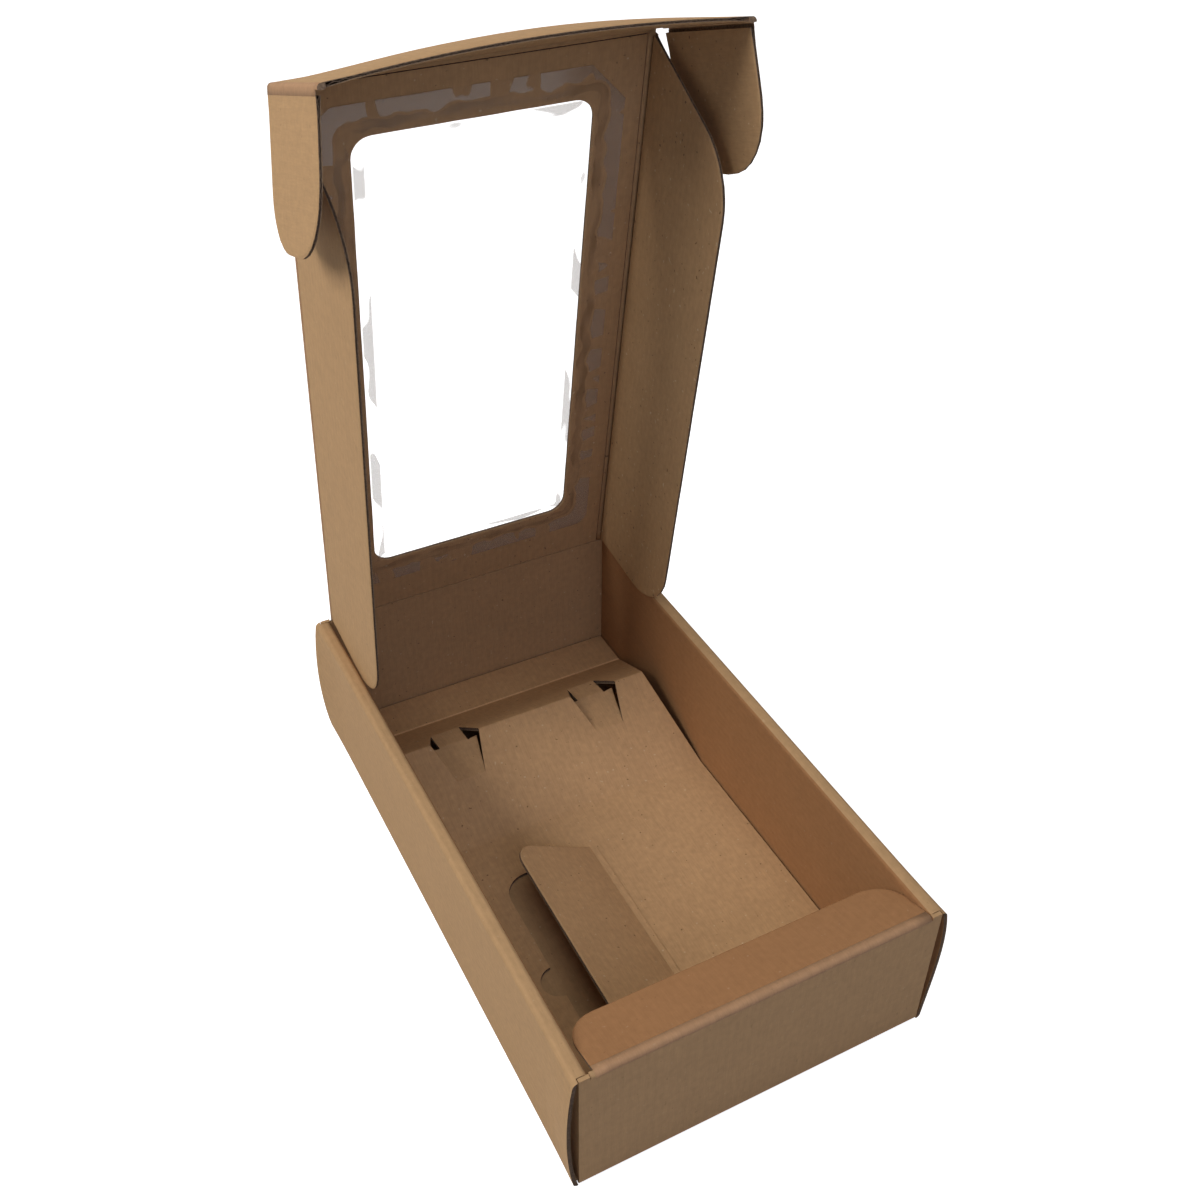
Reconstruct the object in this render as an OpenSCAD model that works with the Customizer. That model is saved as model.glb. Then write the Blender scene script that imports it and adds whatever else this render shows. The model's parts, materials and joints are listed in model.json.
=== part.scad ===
// Windowed gift box for two bottles that lie side by side, in folded corrugated board.
// The tray stands on the floor with its lid open, and the lid's film window faces the front.
// Origin: middle of the tray's underside. +X is the right side, +Y the hinged back, +Z up.

/* [Board] */
// Thickness of the corrugated board
board_t = 1.6; // [1.2:0.1:2.4]
// Running gap left round a creased fold and between pieces that pass each other
fold_gap = 0.3; // [0.2:0.05:0.5]
// Height of the bead that a crease raises on the inside of the board
bead_h = 0.6; // [0.2:0.1:1]
// Radius of the rolled edges along the tops of the side walls
roll_r = 2.2; // [1:0.1:2.8]

/* [Tray] */
// Outer width of the tray
tray_w = 156; // [150:1:190]
// Outer length of the tray, front to back
tray_l = 268; // [255:1:320]
// Outer height of the tray
tray_h = 67; // [64:0.5:90]
// Thickness of a side wall, which is folded over into two layers
side_wall_t = 6.2; // [5.8:0.1:8]
// Length of the four flaps that are trapped inside the side walls
corner_flap_l = 58; // [30:1:100]
// Distance of the corner flaps' edges from the floor and the rim
corner_flap_inset = 3; // [2.5:0.5:8]
// Length of the tabs that lock the inner layers into the floor
lock_tab_l = 34; // [15:1:60]
// Distance from the middle of the tray to a lock tab's middle
lock_tab_y = 70; // [50:1:90]

/* [Lid] */
// How far the lid stands open, from shut
lid_open = 81.5; // [60:0.5:110]
// Gap on each side between the lid's flaps and the side walls
lid_side_gap = 0.5; // [0.4:0.1:2]
// Width of the window
window_w = 96; // [60:1:110]
// Length of the window
window_l = 209; // [120:1:215]
// Distance from the lid's hinge to the window
window_from = 31; // [25:1:38]
// Corner radius of the window
window_r = 8; // [2:0.5:20]
// How far the film laps over the board round the window
film_lap = 13; // [8:0.5:13]
// Size of the film's upper right corner that is cut off
film_corner = 15; // [1:0.5:16]
// Thickness of the film
film_t = 0.15; // [0.1:0.05:0.3]

/* [Lid side flaps] */
// Depth of a side flap
side_flap_d = 62; // [40:0.5:62]
// Fold of a side flap, from flat
side_flap_fold = 90; // [90:0.5:100]
// Distance from the lid's hinge to a side flap's square end
side_flap_from = 4; // [3:0.5:12]
// Slant of a side flap's far end, from square
side_flap_slant = 21; // [5:1:35]
// Corner radius at a side flap's square end
side_flap_near_r = 27; // [5:1:32]
// Corner radius at a side flap's slanted end
side_flap_far_r = 30; // [5:1:45]

/* [Tuck flap] */
// Gap between the ears and the lid's side flaps, which hang inside them
ear_side_gap = 2.6; // [1:0.1:3.5]
// Depth of the tuck flap
tuck_d = 62; // [45:0.5:64]
// Fold of the tuck flap, from flat
tuck_fold = 65; // [30:1:90]
// Length of an ear
ear_l = 51.5; // [30:0.5:60]
// Distance from an ear's root to the tuck flap's crease and to its free edge
ear_inset = 2; // [1:0.5:6]
// Corner radius of an ear on the crease's side
ear_near_r = 18; // [5:1:22]
// Corner radius of an ear on the free edge's side
ear_far_r = 28; // [5:1:32]
// Fold of the left ear, from flat
ear_fold_left = 80; // [60:1:90]
// Fold of the right ear, from flat
ear_fold_right = 86; // [60:1:90]

/* [Front lip] */
// Depth of the lip along the top of the front wall
lip_d = 26.5; // [15:0.5:40]
// How far the lip slopes down into the tray, from level
lip_slope = 16.5; // [0:0.5:40]
// Corner radius of the lip
lip_r = 13; // [3:0.5:14]

/* [Insert] */
// Gap round the insert's edges
insert_gap = 0.8; // [0.5:0.1:2]
// Distance from the back wall to the ridge's rear foot
rear_strip_l = 22; // [10:0.5:30]
// Distance from the back wall to the top of the ridge
ridge_from = 59; // [50:0.5:64]
// Distance from the back wall to the ridge's front foot
slope_from = 105; // [96:0.5:112]
// Height of the ridge over the insert's flat part
ridge_h = 24; // [20:0.5:30]
// Width of the insert at the top of the ridge
ridge_w = 127; // [122:1:130]

/* [Bottle notches] */
// Distance between the middles of the two notches
notch_pitch = 72.4; // [68:0.2:76]
// Width of a notch at the top of the ridge, for a bottle's neck
notch_w = 24.5; // [18:0.5:30]
// Width of the pressed-in strip at its creases
strip_w = 14.2; // [8:0.2:17]
// Share of the front slope that the strip takes
strip_front = 0.4; // [0.3:0.01:0.5]
// Share of the rear slope that the strip takes
strip_rear = 0.37; // [0.3:0.01:0.5]
// How far the strip's own fold lies under the top of the ridge
notch_drop = 6.7; // [5:0.1:8]
// How far the strip's own fold lies behind the top of the ridge
notch_back = 2.8; // [0:0.1:4]

/* [Divider] */
// Distance from the tray's middle to the divider's far end
divider_from = 3; // [0:0.5:15]
// Length of the divider along its fold
divider_l = 104; // [60:1:125]
// Width of the divider, which is its height when it stands up
divider_w = 45; // [30:0.5:58]
// Corner radius of the divider
divider_r = 11; // [3:0.5:15]
// How far the divider is raised, from flat
divider_raise = 30; // [2:1:90]
// Radius of the thumb notch at the divider's free edge
thumb_r = 7.5; // [4:0.5:10]
// Distance from the divider's far end to the middle of the thumb notch
thumb_from = 57; // [25:0.5:80]

/* [Hidden] */
$fn = 48;
eps = 0.01;
ARC_STEPS = 8;

kraft = [0.69, 0.56, 0.43];
kraft_lip = [0.55, 0.41, 0.27];
kraft_inside = [0.60, 0.48, 0.34];
film_tint = [0.85, 0.88, 0.90, 0.35];

// Tray
inner_x = tray_w / 2 - side_wall_t;
inner_y = tray_l / 2 - board_t;
front_wall_x = tray_w / 2 - board_t - fold_gap;
roll_y = inner_y - fold_gap;
crease_z = tray_h - board_t;
lip_x = inner_x - fold_gap;

// Lid, with each crease's line on the inside of the board
lid_x = inner_x - lid_side_gap;
lid_crease_x = lid_x - board_t;
lid_crease_l = 2 * inner_y - board_t - fold_gap;
flap_start = board_t + fold_gap;
side_flap_to = lid_crease_l - board_t / 2;
film_w = window_w + 2 * film_lap;
film_l = window_l + 2 * film_lap;
ear_crease_x = lid_x + ear_side_gap;

// Insert
insert_x = inner_x - insert_gap;
insert_back = inner_y - insert_gap;
insert_front = -inner_y + insert_gap;
flat_z = 2 * board_t;
rear_foot = [inner_y - rear_strip_l, flat_z];
ridge_top = [inner_y - ridge_from, flat_z + ridge_h];
front_foot = [inner_y - slope_from, flat_z];
strip_back_edge = ridge_top + strip_rear * (rear_foot - ridge_top);
strip_front_edge = ridge_top + strip_front * (front_foot - ridge_top);
strip_fold = ridge_top + [notch_back, -notch_drop];
strip_root = 2 * board_t;
notch_x = notch_pitch / 2;

// Outlines

function unit(v) = v / norm(v);

// Arc of radius r that rounds the corner b between its neighbours a and c
function fillet(a, b, c, r) =
    let (to_a = unit(a - b), to_c = unit(c - b),
         half = acos(to_a * to_c) / 2,
         middle = b + unit(to_a + to_c) * r / sin(half),
         first = b + to_a * r / tan(half) - middle,
         last = b + to_c * r / tan(half) - middle,
         start = atan2(first[1], first[0]),
         turn = (atan2(last[1], last[0]) - start + 540) % 360 - 180)
    [for (i = [0:ARC_STEPS]) middle + r * [cos(start + turn * i / ARC_STEPS), sin(start + turn * i / ARC_STEPS)]];

// Closed outline through corners, each given as [x, y, radius]
function rounded(corners) =
    let (n = len(corners), at = [for (c = corners) [c[0], c[1]]])
    [for (i = [0:n - 1])
        for (p = corners[i][2] > 0
                ? fillet(at[(i + n - 1) % n], at[i], at[(i + 1) % n], corners[i][2])
                : [at[i]])
            p];

// Strip of board of thickness t under a line of points, each point shifted square to the line
function side_of(line, i, t) =
    let (n = len(line) - 1,
         before = i > 0 ? unit(line[i] - line[i - 1]) : unit(line[1] - line[0]),
         after = i < n ? unit(line[i + 1] - line[i]) : unit(line[n] - line[n - 1]),
         across = unit([-(before + after)[1], (before + after)[0]]))
    line[i] + across * t / (across * [-before[1], before[0]]);

function strip_outline(line, t) =
    concat(line, [for (i = [len(line) - 1:-1:0]) side_of(line, i, t)]);

// Folded panels. A panel lies along +Y from its crease with its inner face at z = 0.

module board(outline) {
    linear_extrude(board_t) polygon(outline);
}

// Free end of a panel that swings round a crease's bead
module swinging(outline, reach) {
    difference() {
        board(outline);
        rotate([0, 90, 0]) cylinder(r = board_t + fold_gap, h = 2 * reach, center = true);
    }
}

// Rounded fold along a crease, with its low bead on the inside
module crease_bead(from, to) {
    intersection() {
        translate([from, 0, 0]) rotate([0, 90, 0]) cylinder(r = board_t, h = to - from);
        translate([from, -2 * board_t, -bead_h]) cube([to - from, 4 * board_t, board_t + bead_h]);
    }
}

// Extrudes a section drawn in Y and Z along X, over a width centred on x = 0
module across(w) {
    translate([-w / 2, 0, 0]) rotate([90, 0, 90]) linear_extrude(w) children();
}

// Extrudes a section drawn in X and Z along Y, between two places
module along(from, to) {
    translate([0, to, 0]) rotate([90, 0, 0]) linear_extrude(to - from) children();
}

// Frames

module on_back_wall() {
    translate([0, inner_y, crease_z]) rotate([90, 0, 180]) children();
}

module in_lid() {
    on_back_wall() rotate([lid_open - 90, 0, 0]) children();
}

// side is 1 for the lid's left flap and ear, and -1 for its right ones
module on_lid_side(side) {
    in_lid() mirror([side < 0 ? 1 : 0, 0, 0])
        translate([lid_crease_x, 0, 0]) rotate([0, 0, -90]) rotate([-side_flap_fold, 0, 0]) children();
}

module in_tuck() {
    in_lid() translate([0, lid_crease_l, 0]) rotate([-tuck_fold, 0, 0]) children();
}

module on_tuck_side(side, fold) {
    in_tuck() mirror([side < 0 ? 1 : 0, 0, 0])
        translate([ear_crease_x, 0, 0]) rotate([0, 0, -90]) rotate([-fold, 0, 0]) children();
}

module on_front_wall() {
    translate([0, -inner_y, crease_z]) rotate([90, 0, 0]) children();
}

module on_divider_crease() {
    translate([0, divider_from, flat_z]) rotate([180, 0, -90]) children();
}

// Tray

module side_wall_section() {
    difference() {
        polygon(rounded([[inner_x, 0, 0], [inner_x, tray_h, roll_r], [tray_w / 2, tray_h, roll_r],
                         [tray_w / 2, 0, board_t]]));
        polygon(rounded([[inner_x + board_t, board_t, 0],
                         [inner_x + board_t, crease_z, roll_r / 3],
                         [tray_w / 2 - board_t, crease_z, roll_r / 3],
                         [tray_w / 2 - board_t, board_t, 0]]));
    }
}

module side_wall_end_section() {
    intersection() {
        side_wall_section();
        translate([tray_w / 2 - board_t, 0]) square([board_t, tray_h]);
    }
}

module side_wall() {
    difference() {
        along(-roll_y, roll_y) side_wall_section();
        for (y = [-lock_tab_y, lock_tab_y])
            translate([inner_x + board_t, y - lock_tab_l / 2, -eps])
                cube([fold_gap, lock_tab_l, board_t + 2 * eps]);
    }
    along(-tray_l / 2, tray_l / 2) side_wall_end_section();
}

module end_wall_section() {
    polygon(rounded([[-tray_l / 2, 0, board_t], [-tray_l / 2, crease_z, 0],
                     [-inner_y, crease_z, 0], [-inner_y, 0, 0]]));
}

// Front wall, or the back wall when turned round, with a corner flap at each end
module end_wall() {
    across(2 * front_wall_x) end_wall_section();
    on_front_wall() crease_bead(-lip_x, lip_x);
    for (side = [-1, 1])
        mirror([side < 0 ? 1 : 0, 0, 0]) {
            translate([lip_x + fold_gap, -tray_l / 2, crease_z - eps])
                cube([front_wall_x - lip_x - fold_gap, board_t, board_t + eps]);
            translate([front_wall_x - board_t, -tray_l / 2, corner_flap_inset])
                cube([board_t, corner_flap_l, tray_h - 2 * corner_flap_inset]);
        }
}

module tray() {
    color(kraft) {
        difference() {
            translate([-inner_x, -inner_y, 0]) cube([2 * inner_x, 2 * inner_y, board_t]);
            for (x = [-inner_x, inner_x - fold_gap], y = [-lock_tab_y, lock_tab_y])
                translate([x, y - lock_tab_l / 2, -eps])
                    cube([fold_gap, lock_tab_l, board_t + 2 * eps]);
        }
        for (side = [-1, 1]) mirror([side < 0 ? 1 : 0, 0, 0]) side_wall();
        for (turn = [0, 180]) rotate([0, 0, turn]) end_wall();
    }
}

module front_lip() {
    color(kraft_lip)
        on_front_wall() rotate([-90 - lip_slope, 0, 0])
            swinging(rounded([[-lip_x, 0, 0], [-lip_x, lip_d, lip_r], [lip_x, lip_d, lip_r], [lip_x, 0, 0]]),
                     tray_w);
}

// Lid

module lid_panel() {
    color(kraft_inside)
        in_lid() {
            difference() {
                translate([-lid_crease_x, flap_start, 0])
                    cube([2 * lid_crease_x, lid_crease_l - flap_start, board_t]);
                translate([0, 0, -eps])
                    linear_extrude(board_t + 2 * eps)
                        polygon(rounded([[-window_w / 2, window_from, window_r],
                                         [-window_w / 2, window_from + window_l, window_r],
                                         [window_w / 2, window_from + window_l, window_r],
                                         [window_w / 2, window_from, window_r]]));
            }
            translate([0, lid_crease_l, 0]) crease_bead(-lid_crease_x, lid_crease_x);
            for (side = [-1, 1])
                mirror([side < 0 ? 1 : 0, 0, 0])
                    translate([lid_crease_x, 0, 0]) rotate([0, 0, -90])
                        crease_bead(-lid_crease_l, -flap_start);
        }
}

module window_film() {
    x = film_w / 2;
    color(film_tint)
        in_lid() translate([0, window_from - film_lap, -film_t]) linear_extrude(film_t)
            polygon([[-x, 0], [-x, film_l - film_corner], [film_corner - x, film_l], [x, film_l], [x, 0]]);
}

module lid_flap(side) {
    drift = side_flap_d * tan(side_flap_slant);
    color(kraft)
        on_lid_side(side)
            swinging(rounded([[-side_flap_from, 0, 0],
                              [-side_flap_from, side_flap_d, side_flap_near_r],
                              [drift - side_flap_to, side_flap_d, side_flap_far_r],
                              [-side_flap_to, 0, 0]]),
                     tray_l);
}

module lid_flap_left() {
    lid_flap(1);
}

module lid_flap_right() {
    lid_flap(-1);
}

module tuck_flap() {
    color(kraft)
        in_tuck() {
            swinging([[-ear_crease_x, 0], [-ear_crease_x, tuck_d], [ear_crease_x, tuck_d], [ear_crease_x, 0]],
                     tray_w);
            for (side = [-1, 1])
                mirror([side < 0 ? 1 : 0, 0, 0])
                    translate([ear_crease_x, 0, 0]) rotate([0, 0, -90])
                        crease_bead(-tuck_d, -flap_start);
        }
}

module tuck_ear(side, fold) {
    color(kraft)
        on_tuck_side(side, fold)
            swinging(rounded([[-ear_inset, 0, 0],
                              [-ear_inset, ear_l, ear_near_r],
                              [ear_inset - tuck_d, ear_l, ear_far_r],
                              [ear_inset - tuck_d, 0, 0]]),
                     tray_l);
}

module tuck_ear_left() {
    tuck_ear(1, ear_fold_left);
}

module tuck_ear_right() {
    tuck_ear(-1, ear_fold_right);
}

// Insert

// Side view of the folded insert, from the back wall over the ridge to the front
insert_line = [[insert_back, flat_z], rear_foot, ridge_top, front_foot, [insert_front, flat_z]];

// Cut in each slope that frees the strip, seen from above
module notch_cut() {
    polygon([[-strip_w / 2, strip_back_edge[0]], [-notch_w / 2, ridge_top[0]],
             [-strip_w / 2, strip_front_edge[0]], [strip_w / 2, strip_front_edge[0]],
             [notch_w / 2, ridge_top[0]], [strip_w / 2, strip_back_edge[0]]]);
}

// Pressed-in strip from the side, with both ends running on into the slopes
strip_line = [strip_back_edge + strip_root * unit(rear_foot - ridge_top), strip_back_edge, strip_fold,
              strip_front_edge, strip_front_edge + strip_root * unit(front_foot - ridge_top)];

// Pressed-in strip seen from above: it widens from its front crease to its own fold
module strip_plan() {
    front = strip_line[4][0];
    polygon([[-strip_w / 2, front], [-strip_w / 2, strip_front_edge[0]],
             [-notch_w / 2 + fold_gap, strip_fold[0]], [notch_w / 2 - fold_gap, strip_fold[0]],
             [strip_w / 2, strip_front_edge[0]], [strip_w / 2, front]]);
    translate([-strip_w / 2, strip_fold[0] - eps])
        square([strip_w, strip_line[0][0] - strip_fold[0] + eps]);
}

module insert_plan() {
    polygon([[-insert_x, insert_front], [-insert_x, front_foot[0]], [-ridge_w / 2, ridge_top[0]],
             [-insert_x, rear_foot[0]], [-insert_x, insert_back], [insert_x, insert_back],
             [insert_x, rear_foot[0]], [ridge_w / 2, ridge_top[0]], [insert_x, front_foot[0]],
             [insert_x, insert_front]]);
}

function divider_outline(grow) =
    rounded([[-grow, -grow, 0], [-grow, divider_w + grow, divider_r + grow],
             [divider_l + grow, divider_w + grow, divider_r + grow], [divider_l + grow, -grow, 0]]);

module insert() {
    tall = flat_z + ridge_h;
    color(kraft_inside) {
        difference() {
            intersection() {
                across(2 * insert_x) polygon(strip_outline(insert_line, board_t));
                linear_extrude(tall) insert_plan();
            }
            for (x = [-notch_x, notch_x])
                translate([x, 0, flat_z]) linear_extrude(tall) notch_cut();
            on_divider_crease() translate([0, 0, -eps]) linear_extrude(board_t + 2 * eps)
                intersection() {
                    polygon(divider_outline(fold_gap));
                    translate([-tray_l, 0]) square(2 * tray_l);
                }
            on_divider_crease() translate([thumb_from, divider_w, -eps])
                cylinder(r = thumb_r, h = board_t + 2 * eps);
        }
        for (x = [-notch_x, notch_x])
            intersection() {
                translate([x, 0, 0]) linear_extrude(tall) strip_plan();
                across(2 * insert_x) polygon(strip_outline(strip_line, board_t));
            }
        on_divider_crease() crease_bead(0, divider_l);
    }
}

module divider_flap() {
    color(kraft_inside)
        on_divider_crease() rotate([-divider_raise, 0, 0])
            swinging(divider_outline(0), tray_l);
}

tray();
front_lip();
lid_panel();
window_film();
lid_flap_left();
lid_flap_right();
tuck_flap();
tuck_ear_left();
tuck_ear_right();
insert();
divider_flap();
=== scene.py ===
import json
import math

import bmesh
import bpy
from mathutils import Matrix, Vector, noise

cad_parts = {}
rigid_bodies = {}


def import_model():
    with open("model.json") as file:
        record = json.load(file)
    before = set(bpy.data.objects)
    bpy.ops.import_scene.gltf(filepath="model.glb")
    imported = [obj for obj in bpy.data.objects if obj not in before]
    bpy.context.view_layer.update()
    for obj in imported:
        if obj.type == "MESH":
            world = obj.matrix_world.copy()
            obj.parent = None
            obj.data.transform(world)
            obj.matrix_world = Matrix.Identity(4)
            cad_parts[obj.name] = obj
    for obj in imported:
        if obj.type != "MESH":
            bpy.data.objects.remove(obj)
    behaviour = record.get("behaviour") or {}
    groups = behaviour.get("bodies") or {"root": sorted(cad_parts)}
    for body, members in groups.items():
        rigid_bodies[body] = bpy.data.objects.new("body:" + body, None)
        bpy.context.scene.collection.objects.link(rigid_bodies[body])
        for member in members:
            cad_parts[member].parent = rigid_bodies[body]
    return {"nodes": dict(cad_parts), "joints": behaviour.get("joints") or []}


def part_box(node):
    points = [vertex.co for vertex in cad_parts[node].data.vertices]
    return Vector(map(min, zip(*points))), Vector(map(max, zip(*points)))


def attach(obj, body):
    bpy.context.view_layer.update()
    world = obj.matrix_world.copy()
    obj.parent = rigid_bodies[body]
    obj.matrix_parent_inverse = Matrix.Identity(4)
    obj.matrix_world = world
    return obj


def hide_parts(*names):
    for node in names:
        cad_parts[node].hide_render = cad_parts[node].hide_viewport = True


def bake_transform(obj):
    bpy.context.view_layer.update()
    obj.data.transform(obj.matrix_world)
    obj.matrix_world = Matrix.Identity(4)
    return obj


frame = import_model()

bl_info = {
    "name": "Windowed Bottle Gift Box",
    "version": (1, 0, 0),
    "blender": (4, 5, 0),
    "location": "View3D > Sidebar > Gift Box",
    "description": "Dresses the packed frame of a windowed gift box in fluted board, creases and film",
    "category": "Add Mesh",
}

MM = 0.001
# Places closer than this are one place
NEAR = 0.01 * MM
# Longest stretch of a sheet that stays straight where it is shaped or bent
STEP = 8 * MM
# Width beside a crease in which the board has no cut edge
ROOT = 2.5 * MM
# Millimetres between a crease and the beads that run off square to it
BEAD_GAP = 1.9
JOINTS = {joint["name"]: joint for joint in frame["joints"]}
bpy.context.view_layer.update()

# Sizes and colours that a user would change


def linear(text):
    """Turn an sRGB hex colour into linear red, green and blue."""
    shares = [int(text[i:i + 2], 16) / 255 for i in (1, 3, 5)]
    return tuple(c / 12.92 if c <= 0.04045 else ((c + 0.055) / 1.055) ** 2.4 for c in shares)


def length(name, description, millimetres):
    """A length property, written in millimetres and kept in metres."""
    return bpy.props.FloatProperty(
        name=name, description=description, default=millimetres * MM, unit="LENGTH", precision=5)


def lamp_power(name, description, watts):
    """A lamp's power property, in watts."""
    return bpy.props.FloatProperty(
        name=name, description=description, default=watts, min=0, unit="POWER")


def colour(name, description, text):
    """A colour property, written as sRGB hex."""
    return bpy.props.FloatVectorProperty(
        name=name, description=description, default=linear(text), subtype="COLOR", min=0, max=1)


class BoardSizes(bpy.types.PropertyGroup):
    """What the corrugated board is made of"""

    board: length("Board", "Thickness of the whole board", 1.6)
    liner: length("Liner", "Thickness of the flat paper on each side", 0.24)
    medium: length("Medium", "Thickness of the fluted paper in the middle", 0.2)
    flute_pitch: length("Flute pitch", "Distance from one flute to the next", 3.3)
    crushed_w: length("Crushed width", "Width of the rim that the cutting rule presses down", 0.8)
    crushed_d: length("Crushed depth", "How far each liner is pressed in at a cut edge", 0.3)
    rough_edge: length("Rough edge", "How far a cut edge strays from its line", 0.12)
    bow: length("Bow", "How far the outer side layers stand off at their ends", 3.0)
    bow_l: length("Bow length", "Length over which the outer side layers stand off", 34)
    groove_d: length("Groove depth", "Depth of the hollow between the liners at a cut edge", 0.45)
    fold_lift: length("Fold lift", "How far a fold's outer paper stands over the bead", 0.03)
    bead_h: length("Bead height", "Height of the bead that a crease raises inside", 0.6)
    bead_w: length("Bead width", "Half the width of that bead", 1.7)
    soft_fold: length("Soft fold", "Rounding of a fold that nothing holds flat", 0.8)


class LidShapes(bpy.types.PropertyGroup):
    """Shapes of the lid, its window and film, and of the lip"""

    tuck_arch: length("Tuck arch", "Rise of the tuck flap's middle", 5.6)
    lip_slot: length("Lip slot", "Gap between the lip and the left wall", 1.8)
    window_w: length("Window width", "Width of the window", 96)
    window_l: length("Window length", "Length of the window", 209)
    window_from: length("Window start", "Distance from the hinge to the window", 31)
    film_ripple: length("Film ripple", "Height of the ripples in the film", 0.5)
    film_depth: length("Film thickness", "Thickness of the film", 0.1)


class BoxColours(bpy.types.PropertyGroup):
    """Colours of the papers and the film"""

    outside: colour("Outside", "Outer liner, plain brown kraft paper", "#B08C63")
    inside: colour("Inside", "Inner liner, recycled brown paper", "#AC8962")
    insert: colour("Insert", "Inner liner of the insert, from a paler sheet", "#B99268")
    # Painted highlight: the inner liner is painted pale where a crease bead catches the light
    pressed: colour("Bead highlight", "Inner liner painted pale as the highlight a crease bead catches", "#E3BA8C")
    # Painted shade in part: the turned-in outer liner is the outside paper painted darker and more orange for
    # the shade inside the side walls; the lip takes the same colour as its own tone
    turned: colour("Turned in and shaded", "Outer liner turned in, darker and more orange, partly as painted shade", "#9C7049")
    rubbed: colour("Rubbed fold", "Outer liner rubbed pale along a fold", "#A88260")
    medium: colour("Medium", "Fluted paper between the liners", "#685747")
    cut: colour("Cut edge", "Crushed fibres at a cut edge", "#86705A")
    fleck: colour("Light fleck", "Bleached fibre that lies in the liner", "#D2BD9C")
    film: colour("Film", "Clear film where it catches the light", "#C6B098")
    glue: colour("Glue", "Glue that looks wet through the film", "#4A3020")


class ViewSettings(bpy.types.PropertyGroup):
    """Camera and lamps of the picture"""

    camera_at: bpy.props.FloatVectorProperty(
        name="Camera place", description="Where the camera stands", subtype="XYZ", unit="LENGTH",
        default=(-0.1886, -0.3583, 0.4779))
    focal: bpy.props.FloatProperty(
        name="Focal length", description="Camera lens in millimetres on a 36 mm sensor", default=40.9,
        unit="CAMERA")
    key_power: lamp_power("Key lamp", "Power of the lamp high on the left", 15.2)
    top_power: lamp_power("Top lamp", "Power of the lamp overhead", 7.0)
    rear_power: lamp_power("Rear lamp", "Power of the lamp at the rear left", 3.5)
    side_power: lamp_power("Side lamp", "Power of the weak lamp on the right", 2.4)
    fill_power: lamp_power("Fill lamp", "Power of the lamp on the camera's side", 4.1)
    sky: bpy.props.FloatProperty(
        name="Surroundings", description="Strength of the light from all round", default=0.04)


# Materials


def add_node(tree, kind, inputs=None, **settings):
    """Add a node with its settings; each input takes a value or the socket that feeds it."""
    node = tree.nodes.new(kind)
    for name, value in settings.items():
        setattr(node, name, value)
    for name, value in (inputs or {}).items():
        if isinstance(value, bpy.types.NodeSocket):
            tree.links.new(value, node.inputs[name])
        else:
            node.inputs[name].default_value = value
    return node


def new_material(name):
    """An empty node material and its tree, with the output node in place."""
    made = bpy.data.materials.new(name)
    made.use_nodes = True
    made.node_tree.nodes.clear()
    return made, made.node_tree


def per(millimetres):
    """Scale of a texture whose marks are this many millimetres across, on coordinates in metres."""
    return 1 / (millimetres * MM)


def shade(base, share):
    """A colour made lighter or darker by a share."""
    return (*[min(1.0, c * share) for c in base], 1.0)


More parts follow.
